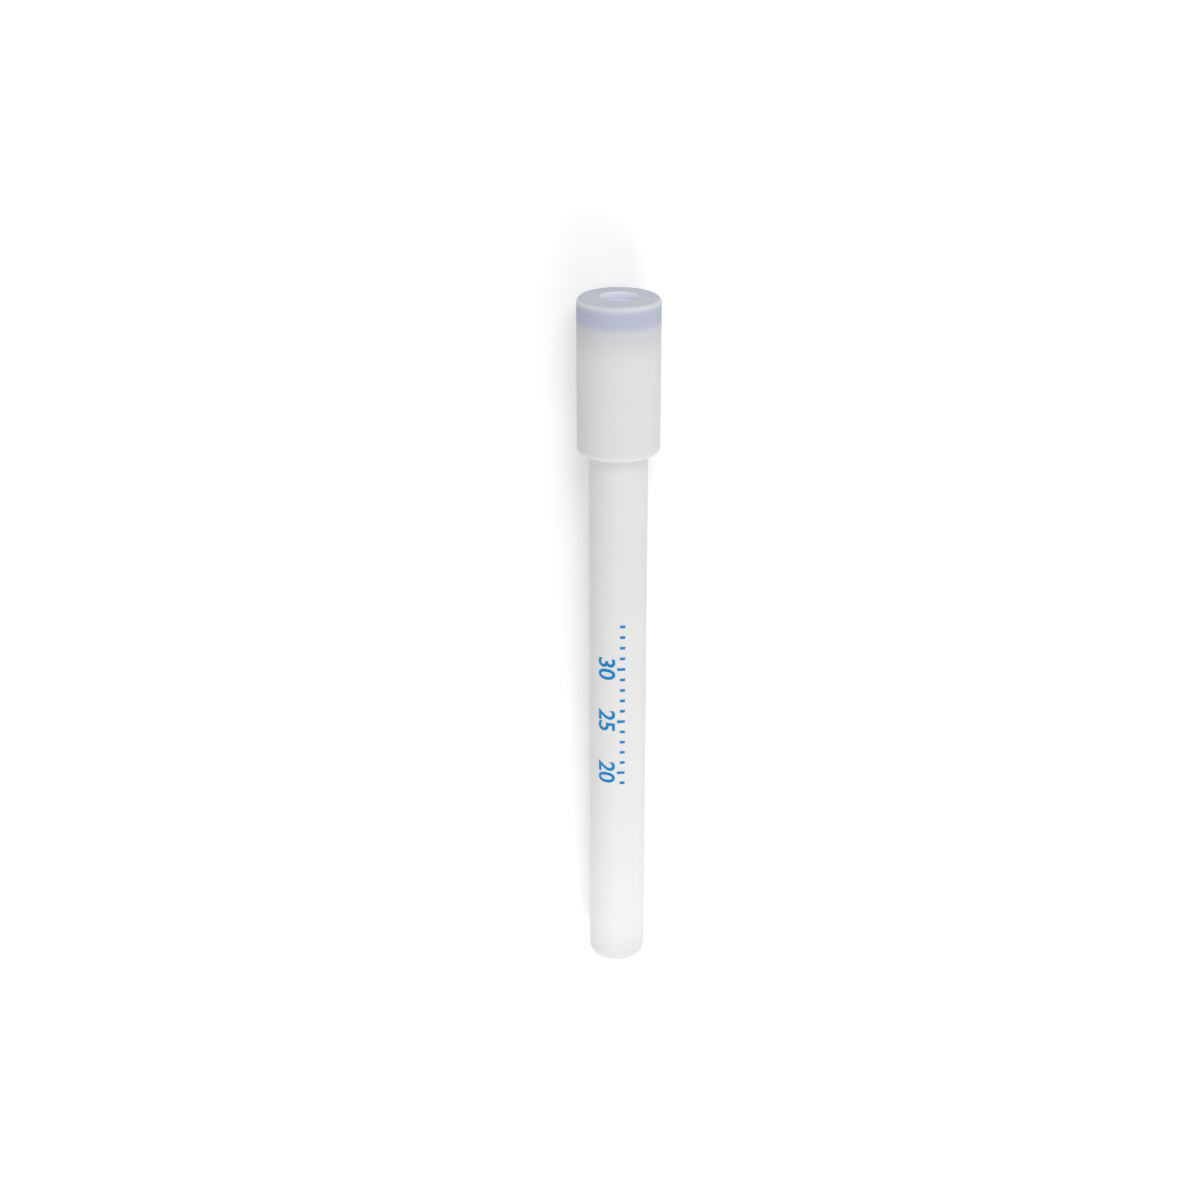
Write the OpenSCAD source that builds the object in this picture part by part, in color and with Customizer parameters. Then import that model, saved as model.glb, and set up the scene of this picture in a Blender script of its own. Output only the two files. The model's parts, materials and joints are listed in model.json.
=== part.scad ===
// Capped sample tube: a thin round tube with a shallow domed foot, and a
// push-on moulded cap whose open top holds a soft septum over the mouth.
// Each piece is drawn upright on its own axis, foot down, and the whole is
// then laid on its side, as it comes to rest on the foot and the cap's mouth.

/* [Tube] */
// Outside diameter of the tube
tube_od = 5; // [4:0.1:5.6]
// Wall of the tube
tube_wall = 0.4; // [0.2:0.05:0.8]
// Length of the tube, from the foot to the mouth
tube_len = 60.2; // [40:0.1:180]
// Radius of the foot's shallow dome
foot_crown_r = 5.3; // [4:0.1:12]
// Radius of the knuckle between the dome and the side
foot_knuckle_r = 1.12; // [0.9:0.01:1.8]
// Rounding of the mouth's two edges
lip_r = 0.12; // [0.02:0.01:0.2]

/* [Cap] */
// Outside diameter of the cap
cap_od = 7; // [6.9:0.1:10]
// Length of the cap, from its mouth to its top
cap_len = 13.2; // [8:0.1:20]
// Thickness of the cap's top round the port
cap_top_t = 0.55; // [0.5:0.05:1.5]
// Rounding of the cap's top edge
cap_edge_r = 0.55; // [0.1:0.05:0.9]
// Rounding of the cap's outer edge at its mouth
cap_mouth_r = 0.34; // [0.1:0.01:0.5]
// Width of the lead-in bevel inside the cap's mouth
lead_in = 0.3; // [0.1:0.05:0.4]

/* [Port] */
// Diameter of the needle port in the cap's top
port_d = 2.9; // [1:0.1:4]
// Rounding of the port's upper edge
port_lip_r = 0.2; // [0.05:0.05:0.35]

/* [Septum] */
// Diameter of the septum
septum_d = 5.9; // [5.7:0.1:6.1]
// Thickness of the septum
septum_t = 1.55; // [0.5:0.05:4]

/* [Fits] */
// Running clearance between the tube and the cap, on the radius
cap_clearance = 0.05; // [0.02:0.01:0.1]
// Clearance round the septum in its seat, on the radius
seat_clearance = 0.05; // [0.02:0.01:0.1]

/* [Hidden] */
$fn = 96;
// How far a cutting outline runs past the edge that it cuts
past = 1;
tube_r = tube_od / 2;
cap_r = cap_od / 2;
port_r = port_d / 2;
bore_r = tube_r + cap_clearance;
seat_r = septum_d / 2 + seat_clearance;
// Heights above the foot: the septum stands on the tube's mouth, and the
// cap's top lies on the septum
septum_z = tube_len;
cap_top_z = septum_z + septum_t + cap_top_t;
cap_mouth_z = cap_top_z - cap_len;
// The septum's seat and the underside of the top, above the cap's own mouth
seat_z = septum_z - cap_mouth_z;
port_z = seat_z + septum_t;
// Height of the knuckle's centre, where the tube's straight side begins
foot_knuckle_z = foot_crown_r - sqrt(pow(foot_crown_r - foot_knuckle_r, 2)
                                     - pow(tube_r - foot_knuckle_r, 2));
// Lying down, the floor touches the knuckle and the round at the cap's mouth,
// so the axis leans by the angle of the line that touches both
reach_z = cap_mouth_z + cap_mouth_r - foot_knuckle_z;
reach_r = cap_r - cap_mouth_r - (tube_r - foot_knuckle_r);
lean = acos((foot_knuckle_r - cap_mouth_r) / norm([reach_z, reach_r]))
       - atan2(reach_z, reach_r);
lift = foot_knuckle_r + (tube_r - foot_knuckle_r) * cos(lean)
       - foot_knuckle_z * sin(lean);
// Ends of the lying part along Y, and the middle that the origin is under
foot_end_y = foot_crown_r * (cos(lean) - 1);
cap_end_y = (cap_r - cap_edge_r) * sin(lean)
            + (cap_top_z - cap_edge_r) * cos(lean) + cap_edge_r;
middle_y = (foot_end_y + cap_end_y) / 2;

// Lays upright children on their side, cap towards +Y, on the plane Z = 0
module lay_down() {
    translate([0, -middle_y, lift])
        rotate([lean - 90, 0, 0])
            children();
}

// What a round of radius r takes off the corner at the origin of an outline
// that lies towards -X and -Y from it
module corner_waste(r) {
    translate([-r, -r])
        difference() {
            square(r + past);
            circle(r);
        }
}

// Half outline of a round-ended blank: a straight side, less what lies below
// the crown's arc, less what lies outside the knuckle's
module blank_outline(r, len, crown, knuckle) {
    knuckle_x = r - knuckle;
    knuckle_z = crown - sqrt(pow(crown - knuckle, 2) - pow(knuckle_x, 2));
    // Way from the crown's centre through the knuckle's to where they meet
    way = [knuckle_x, knuckle_z - crown] / (crown - knuckle);
    difference() {
        translate([0, -past])
            square([r, len + past]);
        difference() {
            translate([-past, -2 * past])
                square([r + 2 * past, crown + 2 * past]);
            translate([0, crown])
                circle(crown);
        }
        translate([knuckle_x, knuckle_z])
            difference() {
                polygon([[0, 0], (knuckle + past) * way,
                         [r + past, -crown - past], [r + past, 0]]);
                circle(knuckle);
            }
    }
}

// Drawn as one round-ended blank less another inside it, so that the wall is
// even round the foot
module tube() {
    color([0.93, 0.93, 0.92])
        lay_down()
            rotate_extrude()
                difference() {
                    blank_outline(tube_r, tube_len, foot_crown_r, foot_knuckle_r);
                    translate([0, tube_wall])
                        blank_outline(tube_r - tube_wall, tube_len,
                                      foot_crown_r - tube_wall,
                                      foot_knuckle_r - tube_wall);
                    translate([tube_r, tube_len])
                        corner_waste(lip_r);
                    translate([tube_r - tube_wall, tube_len])
                        mirror([1, 0])
                            corner_waste(lip_r);
                }
}

// One moulding: skirt, seat for the septum behind a step that keeps it in,
// and a top with a round-edged port
module cap() {
    color([0.88, 0.87, 0.87])
        lay_down()
            translate([0, 0, cap_mouth_z])
                rotate_extrude()
                    difference() {
                        square([cap_r, cap_len]);
                        square([bore_r, seat_z]);
                        polygon([[0, 0], [bore_r + lead_in, 0],
                                 [bore_r, lead_in], [0, lead_in]]);
                        translate([0, seat_z])
                            square([seat_r, septum_t]);
                        translate([0, port_z])
                            square([port_r, cap_top_t]);
                        translate([cap_r, cap_len])
                            corner_waste(cap_edge_r);
                        translate([cap_r, 0])
                            mirror([0, 1])
                                corner_waste(cap_mouth_r);
                        translate([port_r, cap_len])
                            mirror([1, 0])
                                corner_waste(port_lip_r);
                    }
}

// Soft disc under the cap's top, pressed on the tube's mouth
module septum() {
    color([0.74, 0.75, 0.85])
        lay_down()
            translate([0, 0, septum_z])
                cylinder(d = septum_d, h = septum_t);
}

tube();
cap();
septum();
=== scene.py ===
import json
import math

import bmesh
import bpy
from mathutils import Euler, Matrix, Vector


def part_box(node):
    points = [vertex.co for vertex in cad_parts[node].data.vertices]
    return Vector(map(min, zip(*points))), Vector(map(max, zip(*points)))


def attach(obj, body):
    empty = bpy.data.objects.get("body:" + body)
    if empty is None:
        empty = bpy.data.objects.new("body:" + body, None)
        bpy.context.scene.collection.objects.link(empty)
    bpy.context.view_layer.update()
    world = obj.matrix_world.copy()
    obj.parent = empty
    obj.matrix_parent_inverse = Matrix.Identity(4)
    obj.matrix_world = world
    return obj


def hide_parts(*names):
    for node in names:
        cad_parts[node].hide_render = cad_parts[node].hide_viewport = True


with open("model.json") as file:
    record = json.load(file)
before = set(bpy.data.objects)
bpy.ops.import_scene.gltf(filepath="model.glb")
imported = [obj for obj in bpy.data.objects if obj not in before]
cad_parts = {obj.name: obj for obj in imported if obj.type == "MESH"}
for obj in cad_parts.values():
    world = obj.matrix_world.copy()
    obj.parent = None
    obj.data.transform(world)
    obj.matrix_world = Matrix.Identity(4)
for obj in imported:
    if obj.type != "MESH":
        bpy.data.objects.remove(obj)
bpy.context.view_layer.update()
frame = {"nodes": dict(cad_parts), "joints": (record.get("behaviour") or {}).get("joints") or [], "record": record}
scene = bpy.context.scene
mm = 0.001

# The tube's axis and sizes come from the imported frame
mounts = {mount["name"]: mount for mount in frame["record"]["mounts"]}
tubeAxis = Vector(frame["joints"][0]["axis"]).normalized()
lean = math.atan2(tubeAxis.z, tubeAxis.y)  # the lying tube rises towards its cap
tubeRadius = mounts["tube_outside"]["dims"]["r_mm"]
bareMiddle = Vector(mounts["tube_outside"]["pos_m"])  # middle of the tube's bare stretch


def spanAlongTube(node):
    # lowest and highest point of a node along the tube, from the middle of its bare stretch
    corners = frame["nodes"][node].data.vertices
    along = [(corner.co - bareMiddle).dot(tubeAxis) for corner in corners]
    return min(along), max(along)


footEnd = spanAlongTube("tube")[0]
foot = bareMiddle + tubeAxis * footEnd
layDown = Euler((lean - math.pi / 2, 0.0, 0.0))
# from the tube stood upright on its foot, in millimetres, to the frame
uprightToFrame = Matrix.Translation(foot) @ layDown.to_matrix().to_4x4() @ Matrix.Scale(mm, 4)


def heightsOnTube(node):
    # lowest and highest point of a node above the tube's foot, in millimetres
    return [(end - footEnd) / mm for end in spanAlongTube(node)]


septumBottom, septumTop = heightsOnTube("septum")
septumRadius = (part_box("septum")[1].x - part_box("septum")[0].x) / 2 / mm
print("frame: septum from", round(septumBottom, 2), "to", round(septumTop, 2), "mm above the foot")

# Camera, placed round the tube as if it stood upright on its foot (mm, degrees)
viewpoint = {
    "eye": (-1.55, -161.13, 101.58),
    "lookDown": 22.304,
    "lens": 60.34,
    "sensor": 36.0,
    "nearest": 10.0,
}


def makeCamera(values):
    down = math.radians(values["lookDown"])
    right = Vector((1.0, 0.0, 0.0))
    up = Vector((0.0, math.sin(down), math.cos(down)))
    turn = Matrix((right, up, right.cross(up))).transposed().to_4x4()
    data = bpy.data.cameras.new("camera")
    data.sensor_width = values["sensor"]
    data.lens = values["lens"]
    data.clip_start = values["nearest"] * mm
    camera = bpy.data.objects.new("camera", data)
    scene.collection.objects.link(camera)
    place = uprightToFrame @ Matrix.Translation(values["eye"]) @ turn
    camera.matrix_world = Matrix.LocRotScale(place.to_translation(), place.to_quaternion(), None)
    scene.camera = camera


makeCamera(viewpoint)
print("camera: set")


def newMaterial(name):
    material = bpy.data.materials.new(name)
    material.use_nodes = True
    tree = material.node_tree
    tree.nodes.clear()
    return material, tree, tree.nodes.new("ShaderNodeOutputMaterial")


def addNode(tree, kind, **settings):
    node = tree.nodes.new(kind)
    for setting, value in settings.items():
        setattr(node, setting, value)
    return node


def feed(tree, socket, value):
    # links another node's output to a socket, or sets the socket's own number or colour
    if isinstance(value, bpy.types.NodeSocket):
        tree.links.new(value, socket)
    elif socket.type == "RGBA":
        socket.default_value = (*value, 1)
    else:
        socket.default_value = value


def maths(tree, operation, *values, clamp=False):
    # a Math node whose inputs are numbers or sockets, and its output
    node = addNode(tree, "ShaderNodeMath", operation=operation, use_clamp=clamp)
    for socket, value in zip(node.inputs, values):
        feed(tree, socket, value)
    return node.outputs[0]


def smoothStep(tree, value, low, high, toLow=0.0, toHigh=1.0):
    node = addNode(tree, "ShaderNodeMapRange", interpolation_type="SMOOTHSTEP")
    feeds = {"Value": value, "From Min": low, "From Max": high, "To Min": toLow, "To Max": toHigh}
    for label, fed in feeds.items():
        feed(tree, node.inputs[label], fed)
    return node.outputs["Result"]


def seenDirectly(tree):
    # 1 for rays from the camera, a mirror or glass, which see the white studio itself
    path = tree.nodes.new("ShaderNodeLightPath")
    seen = maths(tree, "ADD", path.outputs["Is Camera Ray"], path.outputs["Is Glossy Ray"])
    return maths(tree, "ADD", seen, path.outputs["Is Transmission Ray"], clamp=True)


# Floor, pale room and four soft lamps: a wide one above the foot's end on the right, a low one
# on its left, and two past the cap, one high and one low (metres in the frame)
studio = {
    "floorSize": 4.0,
    "floorColour": (0.9, 0.9, 0.9),
    "floorGlow": (0.25, 0.62),
    "glowReach": (0.02, 0.085),
    "roomColour": (1.0, 1.0, 1.0),
    "roomFill": 0.45,
    "lamps": {
        "softLamp": {
            "place": (0.039, -0.09, 0.075),
            "aim": (0.0, -0.02, 0.0),
            "size": 0.09,
            "power": 0.0745,
        },
        "fillLamp": {
            "place": (-0.05, -0.07, 0.025),
            "aim": (0.0, -0.04, 0.0),
            "size": 0.04,
            "power": 0.015,
        },
        "endLamp": {
            "place": (0.017, 0.11, 0.09),
            "aim": (0.0, 0.02, 0.0),
            "size": 0.05,
            "power": 0.0455,
        },
        "lowLamp": {
            "place": (0.0, 0.15, 0.012),
            "aim": (0.0, 0.03, 0.003),
            "size": 0.03,
            "power": 0.02,
        },
    },
}


def makeFloor(values):
    half = values["floorSize"] / 2
    corners = [(-half, -half, 0), (half, -half, 0), (half, half, 0), (-half, half, 0)]
    mesh = bpy.data.meshes.new("floor")
    mesh.from_pydata(corners, [], [(0, 1, 2, 3)])
    floor = bpy.data.objects.new("floor", mesh)
    scene.collection.objects.link(floor)
    material, tree, output = newMaterial("paleFloor")
    diffuse = tree.nodes.new("ShaderNodeBsdfDiffuse")
    feed(tree, diffuse.inputs["Color"], values["floorColour"])
    # the glow takes the floor to white away from the tube, and leaves the soft shadow beside it
    coordinates = tree.nodes.new("ShaderNodeTexCoord")
    distance = addNode(tree, "ShaderNodeVectorMath", operation="LENGTH")
    tree.links.new(coordinates.outputs["Object"], distance.inputs[0])
    glowHere = smoothStep(tree, distance.outputs["Value"], *values["glowReach"], *values["floorGlow"])
    glow = tree.nodes.new("ShaderNodeEmission")
    tree.links.new(maths(tree, "MULTIPLY", seenDirectly(tree), glowHere), glow.inputs["Strength"])
    both = tree.nodes.new("ShaderNodeAddShader")
    tree.links.new(diffuse.outputs[0], both.inputs[0])
    tree.links.new(glow.outputs[0], both.inputs[1])
    tree.links.new(both.outputs[0], output.inputs["Surface"])
    mesh.materials.append(material)


def makeRoom(values):
    world = bpy.data.worlds.new("room")
    world.use_nodes = True
    tree = world.node_tree
    tree.nodes.clear()
    background = tree.nodes.new("ShaderNodeBackground")
    output = tree.nodes.new("ShaderNodeOutputWorld")
    fill = values["roomFill"]
    strength = maths(tree, "MULTIPLY_ADD", seenDirectly(tree), 1 - fill, fill)
    feed(tree, background.inputs["Color"], values["roomColour"])
    tree.links.new(strength, background.inputs["Strength"])
    tree.links.new(background.outputs[0], output.inputs["Surface"])
    scene.world = world


def makeLamp(name, values):
    place, aim = Vector(values["place"]), Vector(values["aim"])
    data = bpy.data.lights.new(name, "AREA")
    data.size = values["size"]
    data.energy = values["power"]
    lamp = bpy.data.objects.new(name, data)
    scene.collection.objects.link(lamp)
    lamp.location = place
    lamp.rotation_euler = (place - aim).to_track_quat("Z", "Y").to_euler()


makeFloor(studio)
makeRoom(studio)
for lampName, lampValues in studio["lamps"].items():
    makeLamp(lampName, lampValues)
scene.view_settings.view_transform = "Standard"
print("studio: floor, room and lamps made")

# What the finishes share: how detailed their noises are, how slowly the drawn lines change along
# the tube, which stretch of a noise clouds the colour or turns the roughness, and how far red,
# green and blue light spread inside
finishRules = {
    "grainDetail": 3.0,
    "lineDetail": 1.0,
    "cloudDetail": 2.0,
    "alongTube": 0.02,
    "cloudRange": (0.35, 0.65),
    "roughRange": (0.3, 0.7),
    "glowSpread": (1.0, 0.95, 0.9),
}


def newGroup(name, inputs, outputs):
    # an empty shader node group; inputs and outputs are (name, kind, value) and (name, kind)
    group = bpy.data.node_groups.new(name, "ShaderNodeTree")
    for label, kind, value in inputs:
        socket = group.interface.new_socket(label, in_out="INPUT", socket_type=kind)
        if value is not None:
            socket.default_value = value
    for label, kind in outputs:
        group.interface.new_socket(label, in_out="OUTPUT", socket_type=kind)
    return group, group.nodes.new("NodeGroupInput").outputs, group.nodes.new("NodeGroupOutput").inputs


def makeTubePlaceGroup():
    # distance from the tube's axis and height above its foot, both in millimetres
    group, given, put = newGroup(
        "tubePlace",
        [("Place", "NodeSocketVector", None)],
        [("Radius", "NodeSocketFloat"), ("Height", "NodeSocketFloat")],
    )
    split = group.nodes.new("ShaderNodeSeparateXYZ")
    group.links.new(given["Place"], split.inputs[0])
    square = maths(group, "MULTIPLY", split.outputs["X"], split.outputs["X"])
    squares = maths(group, "MULTIPLY_ADD", split.outputs["Y"], split.outputs["Y"], square)
    group.links.new(maths(group, "SQRT", squares), put["Radius"])
    group.links.new(split.outputs["Z"], put["Height"])
    return group


def makeGrainGroup(rules):
    # fine grain, lines drawn along the tube, and slow clouding of a moulded or drawn plastic
    group, given, put = newGroup(
        "plasticGrain",
        [
            ("Place", "NodeSocketVector", None),
            ("Grain Scale", "NodeSocketFloat", 12.0),
            ("Line Scale", "NodeSocketFloat", 6.0),
            ("Line Share", "NodeSocketFloat", 0.5),
            ("Cloud Scale", "NodeSocketFloat", 0.35),
        ],
        [("Grain", "NodeSocketFloat"), ("Cloud", "NodeSocketFloat")],
    )

    def noise(scale, place, detail):
        texture = addNode(group, "ShaderNodeTexNoise", noise_dimensions="3D")
        texture.inputs["Detail"].default_value = detail
        group.links.new(place, texture.inputs["Vector"])
        group.links.new(scale, texture.inputs["Scale"])
        return texture.outputs["Fac"]

    stretch = addNode(group, "ShaderNodeVectorMath", operation="MULTIPLY")
    stretch.inputs[1].default_value = (1.0, 1.0, rules["alongTube"])
    group.links.new(given["Place"], stretch.inputs[0])
    grain = noise(given["Grain Scale"], given["Place"], rules["grainDetail"])
    lines = noise(given["Line Scale"], stretch.outputs[0], rules["lineDetail"])
    cloud = noise(given["Cloud Scale"], given["Place"], rules["cloudDetail"])
    both = addNode(group, "ShaderNodeMix", data_type="FLOAT")
    group.links.new(given["Line Share"], both.inputs["Factor"])
    group.links.new(grain, both.inputs["A"])
    group.links.new(lines, both.inputs["B"])
    group.links.new(both.outputs["Result"], put["Grain"])
    group.links.new(cloud, put["Cloud"])
    return group


tubePlaceGroup = makeTubePlaceGroup()
grainGroup = makeGrainGroup(finishRules)


def placeOnTube(tree):
    # Object coordinates turned to the upright tube, in millimetres from its foot
    coordinates = tree.nodes.new("ShaderNodeTexCoord")
    mapping = addNode(tree, "ShaderNodeMapping", vector_type="TEXTURE")
    mapping.inputs["Location"].default_value = foot
    mapping.inputs["Rotation"].default_value = layDown
    mapping.inputs["Scale"].default_value = (mm, mm, mm)
    tree.links.new(coordinates.outputs["Object"], mapping.inputs["Vector"])
    return mapping.outputs["Vector"]


def useGroup(tree, group, place, values=None):
    node = addNode(tree, "ShaderNodeGroup", node_tree=group)
    tree.links.new(place, node.inputs["Place"])
    for label, value in (values or {}).items():
        node.inputs[label].default_value = value
    return node.outputs


def mixColours(tree, factor, first, second):
    node = addNode(tree, "ShaderNodeMix", data_type="RGBA")
    sockets = (node.inputs[0], node.inputs[6], node.inputs[7])  # the factor and the two colours
    for socket, value in zip(sockets, (factor, first, second)):
        feed(tree, socket, value)
    return node.outputs[2]  # the mixed colour


def bump(tree, height, depth):
    node = tree.nodes.new("ShaderNodeBump")
    node.inputs["Strength"].default_value = 1.0
    node.inputs["Distance"].default_value = depth
    tree.links.new(height, node.inputs["Height"])
    return node.outputs["Normal"]


def putShader(tree, output, feeds):
    # one Principled shader with the named inputs fed, as the material's surface
    shader = tree.nodes.new("ShaderNodeBsdfPrincipled")
    for label, value in feeds.items():
        feed(tree, shader.inputs[label], value)
    tree.links.new(shader.outputs["BSDF"], output.inputs["Surface"])


def makePlastic(name, values, paint=None):
    # the soft plastic that tube, cap and septum share; paint colours it by place on the tube
    material, tree, output = newMaterial(name)
    place = placeOnTube(tree)
    grain = useGroup(tree, grainGroup, place, values["grain"])
    clouded = smoothStep(tree, grain["Cloud"], *finishRules["cloudRange"])
    colour = mixColours(tree, clouded, values["colour"], values["cloudColour"])
    if paint:
        colour = paint(tree, useGroup(tree, tubePlaceGroup, place), colour, values)
    roughness = smoothStep(tree, grain["Cloud"], *finishRules["roughRange"], *values["roughness"])
    putShader(tree, output, {
        "Base Color": colour,
        "Roughness": roughness,
        "Normal": bump(tree, grain["Grain"], values["bumpDepth"] * mm),
        "IOR": values["ior"],
        "Specular IOR Level": values["gloss"],
        "Subsurface Weight": values["glow"],
        "Subsurface Radius": finishRules["glowSpread"],
        "Subsurface Scale": values["glowDepth"] * mm,
    })
    return material


# White tube: drawn plastic, smooth and almost matt (mm)
tubeDesign = {
    "colour": (0.90, 0.895, 0.89),
    "cloudColour": (0.885, 0.882, 0.878),
    "roughness": (0.34, 0.46),
    "bumpDepth": 0.0006,
    "grain": {"Grain Scale": 14.0, "Line Scale": 7.0, "Line Share": 0.6, "Cloud Scale": 0.3},
    "ior": 1.4,
    "gloss": 0.06,
    "glow": 0.1,
    "glowDepth": 0.6,
    # painted shade: the foot is painted darker, and its very end darker still
    "footShadeColour": (0.785, 0.782, 0.782),
    "footShadeReach": (4.9, 0.0),
    "tipShadeColour": (0.70, 0.697, 0.697),
    "tipShadeReach": (1.6, 0.6),
}


def paintTube(tree, spot, tint, values):
    # painted shade: the closed foot is painted darker than the wall, and darker still at its very end
    footShade = smoothStep(tree, spot["Height"], *values["footShadeReach"])
    tipShade = smoothStep(tree, spot["Height"], *values["tipShadeReach"])
    footShaded = mixColours(tree, footShade, tint, values["footShadeColour"])
    return mixColours(tree, tipShade, footShaded, values["tipShadeColour"])


def dressTube(values):
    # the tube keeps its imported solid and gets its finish
    materials = frame["nodes"]["tube"].data.materials
    materials.clear()
    materials.append(makePlastic("tubeWhite", values, paintTube))


# How finely the turned pieces are made, and which of their edges stay sharp (mm, degrees)
lathe = {
    "sides": 160,
    "mergeDistance": 1e-5,
    "sharpAngle": 35.0,
}


def arc(middle, radius, start, end, steps):
    # points of a round, from one angle to another (degrees, from straight out towards up)
    across, up = middle
    turns = [math.radians(start + (end - start) * step / steps) for step in range(steps + 1)]
    return [(across + radius * math.cos(turn), up + radius * math.sin(turn)) for turn in turns]


def latheMesh(name, outline):
    # turns an outline of (radius, height) points round the upright tube's axis into a closed piece;
    # an outline that doesn't start on the axis is closed into a ring
    shape = bmesh.new()
    points = [shape.verts.new((radius, 0.0, height)) for radius, height in outline]
    pairs = list(zip(points, points[1:]))
    if outline[0][0] > 0:
        pairs.append((points[-1], points[0]))
    edges = [shape.edges.new(pair) for pair in pairs]
    bmesh.ops.spin(
        shape,
        geom=points + edges,
        cent=(0, 0, 0),
        axis=(0, 0, 1),
        angle=2 * math.pi,
        steps=lathe["sides"],
    )
    bmesh.ops.remove_doubles(shape, verts=shape.verts, dist=lathe["mergeDistance"])
    bmesh.ops.recalc_face_normals(shape, faces=shape.faces)
    for face in shape.faces:
        face.smooth = True
    mesh = bpy.data.meshes.new(name)
    shape.to_mesh(mesh)
    shape.free()
    mesh.set_sharp_from_angle(angle=math.radians(lathe["sharpAngle"]))
    return mesh


def addPiece(name, mesh, body, material):
    # an upright mesh laid down in the frame as a piece of its own
    mesh.transform(uprightToFrame)
    mesh.materials.append(material)
    piece = bpy.data.objects.new(name, mesh)
    scene.collection.objects.link(piece)
    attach(piece, body)
    return piece


# Milky cap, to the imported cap's sizes (mm, heights above the tube's foot). The lilac septum
# behind its wall tints a band of it, softly at the lower edge
capDesign = {
    "mouth": 49.1,
    "top": 62.3,
    "radius": 3.5,
    "boreRadius": 2.55,
    "seatRadius": 3.0,
    "portRadius": 1.45,
    "leadIn": 0.3,
    "mouthRound": 0.34,
    "mouthSteps": 8,
    "edgeRound": 0.55,
    "edgeSteps": 15,
    "portRound": 0.2,
    "portSteps": 8,
    "flatMargin": 0.05,
    "colour": (0.875, 0.868, 0.866),
    "cloudColour": (0.86, 0.855, 0.855),
    "roughness": (0.36, 0.46),
    "bumpDepth": 0.0005,
    "grain": {"Grain Scale": 10.0, "Line Scale": 6.0, "Line Share": 0.2, "Cloud Scale": 0.4},
    "ior": 1.4,
    "gloss": 0.0,
    "glow": 0.25,
    "glowDepth": 0.5,
    "bandColour": (0.575, 0.61, 0.745),
    "bandSoftEdge": 0.45,
    # partly the septum's lilac tint, partly painted shade: darker and a little bluer below the septum
    "septumTintAndShadeColour": (0.74, 0.74, 0.775),
    "septumTintAndShadeReach": 3.4,
    "rimColour": (0.795, 0.812, 0.862),
    "rimSoftEdge": (0.3, 0.3),
    "topColour": (0.52, 0.541, 0.602),
    "topSoftEdge": (0.35, 0.05),
    "portSoftEdge": (1.48, 1.62),
}


def paintCap(tree, spot, tint, values):
    # from the mouth up: plain, then darker and a little bluer below the septum, partly its lilac tint
    # and partly painted shade, the lilac band, a paler rim, and the flat of the top; the port's wall
    # is as pale as the rim
    height = spot["Height"]
    bandEdge = values["bandSoftEdge"]
    below, above = values["rimSoftEdge"]
    deep, shallow = values["topSoftEdge"]
    # partly the septum's tint, partly painted shade, fading in below the septum
    tintAndShade = smoothStep(tree, height, septumBottom - values["septumTintAndShadeReach"], septumBottom)
    band = smoothStep(tree, height, septumBottom - bandEdge, septumBottom + bandEdge)
    overSeptum = smoothStep(tree, height, septumTop - below, septumTop + above)
    onTop = smoothStep(tree, height, values["top"] - deep, values["top"] - shallow)
    outsidePort = smoothStep(tree, spot["Radius"], *values["portSoftEdge"])
    rim = maths(tree, "MAXIMUM", overSeptum, maths(tree, "SUBTRACT", 1.0, outsidePort))
    flat = maths(tree, "MULTIPLY", onTop, outsidePort)
    tintedAndShaded = mixColours(tree, tintAndShade, tint, values["septumTintAndShadeColour"])
    banded = mixColours(tree, band, tintedAndShaded, values["bandColour"])
    rimmed = mixColours(tree, rim, banded, values["rimColour"])
    return mixColours(tree, flat, rimmed, values["topColour"])


def makeCap(values):
    radius, bore = values["radius"], values["boreRadius"]
    seat, port = values["seatRadius"], values["portRadius"]
    mouth, top = values["mouth"], values["top"]
    mouthRound, edge, lip = values["mouthRound"], values["edgeRound"], values["portRound"]
    margin = values["flatMargin"]  # keeps the flat and the straight side true beside their rounds
    outline = [
        (bore, mouth + values["leadIn"]),
        (bore, septumBottom),
        (seat, septumBottom),
        (seat, septumTop),
        (port, septumTop),
        *arc((port + lip, top - lip), lip, 180, 90, values["portSteps"]),
        (port + lip + margin, top),
        (radius - edge - margin, top),
        *arc((radius - edge, top - edge), edge, 90, 0, values["edgeSteps"]),
        (radius, top - edge - margin),
        (radius, mouth + mouthRound + margin),
        *arc((radius - mouthRound, mouth + mouthRound), mouthRound, 0, -90, values["mouthSteps"]),
        (bore + values["leadIn"], mouth),
    ]
    mesh = latheMesh("capShell", outline)
    shell = addPiece("capShell", mesh, "cap", makePlastic("capMilky", values, paintCap))
    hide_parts("cap")


# Lilac septum: a soft disc a hair clear of cap and tube, with its edges eased (mm)
septumDesign = {
    "gap": 0.005,
    "edgeRound": 0.08,
    "edgeSteps": 5,
    "colour": (0.67, 0.68, 0.86),
    "cloudColour": (0.645, 0.655, 0.84),
    "roughness": (0.5, 0.62),
    "bumpDepth": 0.001,
    "grain": {"Grain Scale": 16.0, "Line Scale": 6.0, "Line Share": 0.0, "Cloud Scale": 0.5},
    "ior": 1.42,
    "gloss": 0.5,
    "glow": 0.2,
    "glowDepth": 0.4,
}


def makeSeptum(values):
    gap, ease, steps = values["gap"], values["edgeRound"], values["edgeSteps"]
    radius = septumRadius - gap
    low, high = septumBottom + gap, septumTop - gap
    outline = [
        (0.0, low),
        *arc((radius - ease, low + ease), ease, -90, 0, steps),
        *arc((radius - ease, high - ease), ease, 0, 90, steps),
        (0.0, high),
    ]
    mesh = latheMesh("septumDisc", outline)
    disc = addPiece("septumDisc", mesh, "cap", makePlastic("septumLilac", values))
    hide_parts("septum")


dressTube(tubeDesign)
makeCap(capDesign)
makeSeptum(septumDesign)
print("pieces: tube dressed, cap shell and septum disc made")

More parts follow.
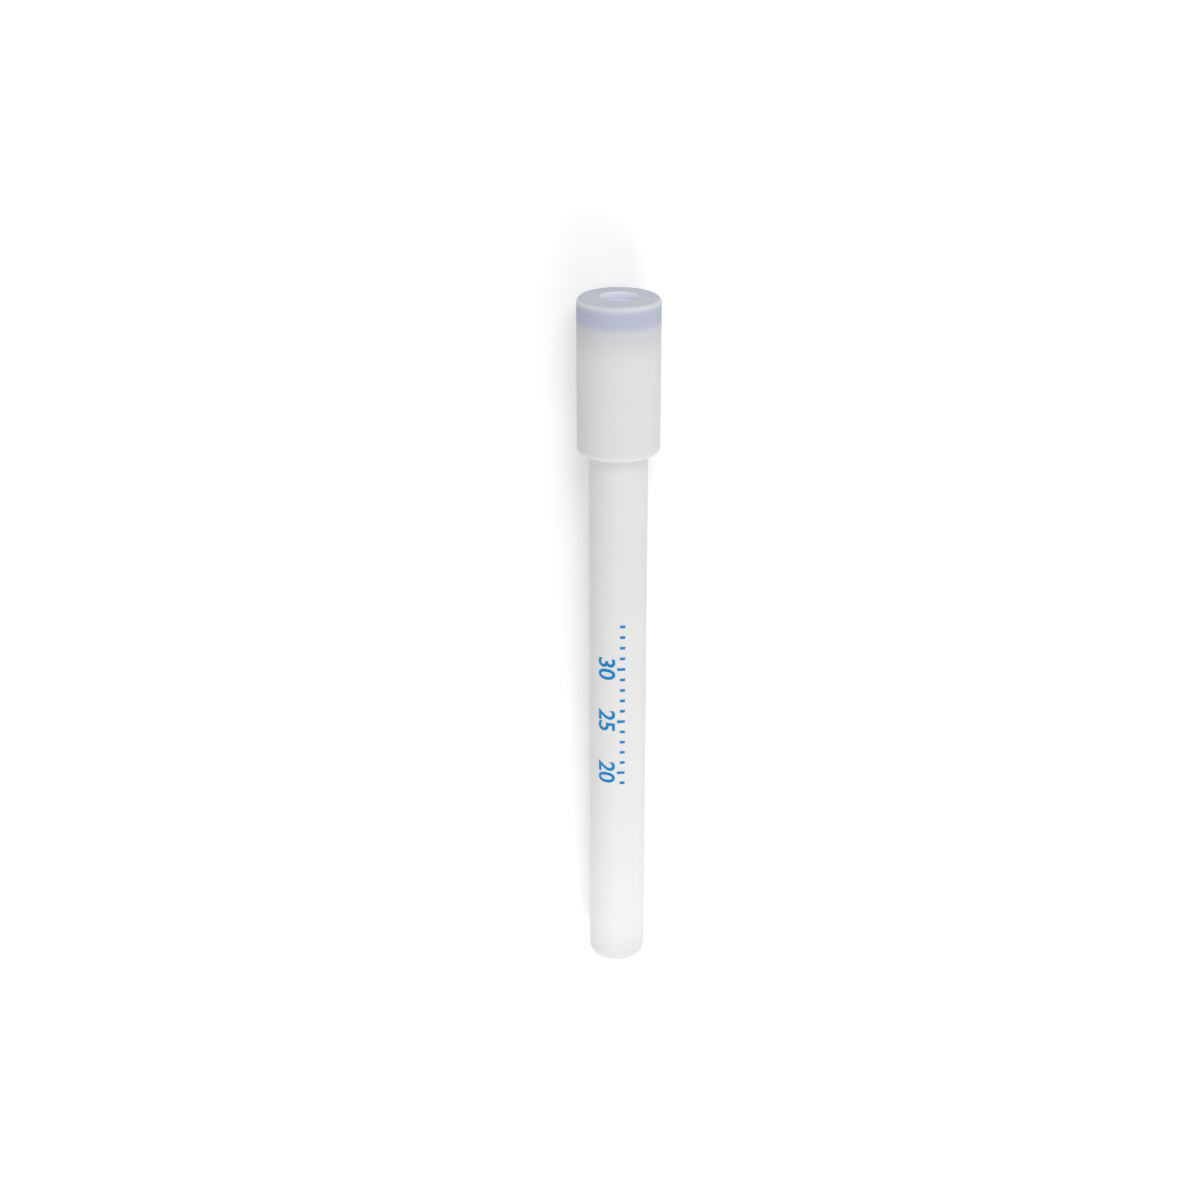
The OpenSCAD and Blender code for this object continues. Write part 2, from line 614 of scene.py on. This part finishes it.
# Filling scale printed on the tube in blue: a line for each millimetre above the foot, numbered
# at every fifth (mm)
scaleDesign = {
    "firstHeight": 19,
    "lastHeight": 34,
    "numberedEvery": 5,
    "rightEdge": 0.63,
    "shortLine": 0.45,
    "longLine": 0.7,
    "lineWidth": 0.25,
    "linePoints": 8,
    "inkDepth": 0.012,
    "inkSink": 0.006,
    "numberSize": 2.15,
    "numberGap": 0.16,
    "numberWeight": 0.03,
    "wrapStep": 0.12,
    "mergeDistance": 1e-4,
    "cutTolerance": 1e-5,
    "colour": (0.0, 0.24, 0.61),
    "thinColour": (0.01, 0.29, 0.66),
    "thinRange": (0.45, 0.75),
    "roughness": (0.4, 0.55),
    "bumpDepth": 0.001,
    "grain": {"Grain Scale": 18.0, "Line Scale": 9.0, "Line Share": 0.3, "Cloud Scale": 2.5},
    "ior": 1.3,
}


def makeInkMaterial(values):
    # printing ink, a little thinner in places
    material, tree, output = newMaterial("inkBlue")
    grain = useGroup(tree, grainGroup, placeOnTube(tree), values["grain"])
    thin = smoothStep(tree, grain["Cloud"], *values["thinRange"])
    roughness = smoothStep(tree, grain["Grain"], *finishRules["roughRange"], *values["roughness"])
    putShader(tree, output, {
        "Base Color": mixColours(tree, thin, values["colour"], values["thinColour"]),
        "Roughness": roughness,
        "Normal": bump(tree, grain["Grain"], values["bumpDepth"] * mm),
        "IOR": values["ior"],
    })
    return material


def makeLinesTree():
    # Geometry Nodes: bars in a row up the tube, every so many of them long, then bent round the tube
    tree = bpy.data.node_groups.new("scaleLines", "GeometryNodeTree")
    inputs = [
        ("Lines", "NodeSocketInt"),
        ("Lines To First Long", "NodeSocketInt"),
        ("Long Every", "NodeSocketInt"),
        ("First Height", "NodeSocketFloat"),
        ("Short Line", "NodeSocketFloat"),
        ("Long Line", "NodeSocketFloat"),
        ("Line Width", "NodeSocketFloat"),
        ("Line Points", "NodeSocketInt"),
        ("Right Edge", "NodeSocketFloat"),
        ("Tube Radius", "NodeSocketFloat"),
        ("Ink Depth", "NodeSocketFloat"),
        ("Ink Sink", "NodeSocketFloat"),
        ("Ink", "NodeSocketMaterial"),
    ]
    for label, kind in inputs:
        tree.interface.new_socket(label, in_out="INPUT", socket_type=kind)
    tree.interface.new_socket("Geometry", in_out="OUTPUT", socket_type="NodeSocketGeometry")
    given = tree.nodes.new("NodeGroupInput").outputs
    put = tree.nodes.new("NodeGroupOutput").inputs
    link = tree.links.new

    def triple(*parts):
        node = tree.nodes.new("ShaderNodeCombineXYZ")
        for socket, value in zip(node.inputs, parts):
            feed(tree, socket, value)
        return node.outputs[0]

    row = tree.nodes.new("GeometryNodeMeshLine")
    link(given["Lines"], row.inputs["Count"])
    link(triple(0.0, 0.0, given["First Height"]), row.inputs["Start Location"])
    row.inputs["Offset"].default_value = (0.0, 0.0, 1.0)  # a line for each millimetre

    # length of each bar
    index = tree.nodes.new("GeometryNodeInputIndex").outputs[0]
    fromLong = maths(tree, "SUBTRACT", index, given["Lines To First Long"])
    pastLong = maths(tree, "FLOORED_MODULO", fromLong, given["Long Every"])
    isLong = maths(tree, "COMPARE", pastLong, 0.0, 0.5)  # within half a line
    extra = maths(tree, "SUBTRACT", given["Long Line"], given["Short Line"])
    length = maths(tree, "MULTIPLY_ADD", isLong, extra, given["Short Line"])
    depth = maths(tree, "ADD", given["Ink Depth"], given["Ink Sink"])

    bar = tree.nodes.new("GeometryNodeMeshCube")
    link(given["Line Points"], bar.inputs["Vertices X"])
    shiftBar = tree.nodes.new("GeometryNodeTransform")
    shiftBar.inputs["Translation"].default_value = (-0.5, -0.5, 0.0)  # from its right inner edge
    link(bar.outputs["Mesh"], shiftBar.inputs["Geometry"])
    bars = tree.nodes.new("GeometryNodeInstanceOnPoints")
    link(row.outputs["Mesh"], bars.inputs["Points"])
    link(shiftBar.outputs["Geometry"], bars.inputs["Instance"])
    link(triple(length, depth, given["Line Width"]), bars.inputs["Scale"])
    real = tree.nodes.new("GeometryNodeRealizeInstances")
    link(bars.outputs["Instances"], real.inputs["Geometry"])

    # bend: the way across becomes an angle, the depth of ink a radius
    split = tree.nodes.new("ShaderNodeSeparateXYZ")
    link(tree.nodes.new("GeometryNodeInputPosition").outputs[0], split.inputs[0])
    across = maths(tree, "ADD", split.outputs["X"], given["Right Edge"])
    angle = maths(tree, "DIVIDE", across, given["Tube Radius"])
    sunk = maths(tree, "SUBTRACT", given["Tube Radius"], given["Ink Sink"])
    radius = maths(tree, "SUBTRACT", sunk, split.outputs["Y"])
    sideways = maths(tree, "MULTIPLY", radius, maths(tree, "SINE", angle))
    backwards = maths(tree, "MULTIPLY", radius, maths(tree, "COSINE", angle))
    forwards = maths(tree, "MULTIPLY", backwards, -1.0)
    bend = tree.nodes.new("GeometryNodeSetPosition")
    link(real.outputs["Geometry"], bend.inputs["Geometry"])
    link(triple(sideways, forwards, split.outputs["Z"]), bend.inputs["Position"])
    paint = tree.nodes.new("GeometryNodeSetMaterial")
    link(bend.outputs["Geometry"], paint.inputs["Geometry"])
    link(given["Ink"], paint.inputs["Material"])
    link(paint.outputs["Geometry"], put["Geometry"])
    return tree


def firstNumbered(values):
    # height of the lowest line that has a number
    every = values["numberedEvery"]
    return math.ceil(values["firstHeight"] / every) * every


def makeScaleLines(values, ink):
    # the nodes work on an empty mesh, and what they make is kept as a plain one
    carrier = bpy.data.objects.new("scaleLines", bpy.data.meshes.new("scaleLines"))
    scene.collection.objects.link(carrier)
    modifier = carrier.modifiers.new("scaleLines", "NODES")
    modifier.node_group = makeLinesTree()
    settings = {
        "Lines": values["lastHeight"] - values["firstHeight"] + 1,
        "Lines To First Long": firstNumbered(values) - values["firstHeight"],
        "Long Every": values["numberedEvery"],
        "First Height": float(values["firstHeight"]),
        "Short Line": values["shortLine"],
        "Long Line": values["longLine"],
        "Line Width": values["lineWidth"],
        "Line Points": values["linePoints"],
        "Right Edge": values["rightEdge"],
        "Tube Radius": tubeRadius,
        "Ink Depth": values["inkDepth"],
        "Ink Sink": values["inkSink"],
        "Ink": ink,
    }
    for socket in modifier.node_group.interface.items_tree:
        if socket.in_out == "INPUT":
            modifier[socket.identifier] = settings[socket.name]
    evaluated = carrier.evaluated_get(bpy.context.evaluated_depsgraph_get())
    baked = bpy.data.meshes.new_from_object(evaluated)
    carrier.modifiers.clear()
    baked.transform(uprightToFrame)
    carrier.data = baked
    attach(carrier, "tube")


def makeScaleNumbers(values, ink):
    # plain figures, read down the tube with their heads to the right, bent round it
    solid = bmesh.new()
    headsAt = values["rightEdge"] - values["longLine"] - values["numberGap"]
    for height in range(firstNumbered(values), values["lastHeight"] + 1, values["numberedEvery"]):
        text = bpy.data.curves.new("number", "FONT")
        text.body = str(height)
        text.size = values["numberSize"]
        text.offset = values["numberWeight"]
        text.extrude = (values["inkDepth"] + values["inkSink"]) / 2
        text.align_x = "CENTER"
        text.align_y = "TOP_BASELINE"
        holder = bpy.data.objects.new("number", text)
        flat = bpy.data.meshes.new_from_object(holder)
        highest = max(corner.co.y for corner in flat.vertices)
        flat.transform(Matrix((
            (0, 1, 0, headsAt - highest),  # across the tube
            (0, 0, -1, 0),  # depth of ink
            (-1, 0, 0, height),
            (0, 0, 0, 1),
        )))
        solid.from_mesh(flat)
        bpy.data.objects.remove(holder)
    bmesh.ops.remove_doubles(solid, verts=solid.verts, dist=values["mergeDistance"])

    # cuts along the tube let the figures bend round it
    across = [corner.co.x for corner in solid.verts]
    cut = min(across) + values["wrapStep"]
    while cut < max(across):
        bmesh.ops.bisect_plane(
            solid,
            geom=solid.verts[:] + solid.edges[:] + solid.faces[:],
            plane_co=(cut, 0, 0),
            plane_no=(1, 0, 0),
            dist=values["cutTolerance"],
        )
        cut += values["wrapStep"]
    middle = (values["inkDepth"] - values["inkSink"]) / 2
    for corner in solid.verts:
        radius = tubeRadius + middle - corner.co.y
        angle = corner.co.x / tubeRadius
        corner.co = (radius * math.sin(angle), -radius * math.cos(angle), corner.co.z)
    bmesh.ops.recalc_face_normals(solid, faces=solid.faces)
    mesh = bpy.data.meshes.new("scaleNumbers")
    solid.to_mesh(mesh)
    solid.free()
    addPiece("scaleNumbers", mesh, "tube", ink)


inkBlue = makeInkMaterial(scaleDesign)
makeScaleLines(scaleDesign, inkBlue)
makeScaleNumbers(scaleDesign, inkBlue)
print("print: scale lines and numbers made")
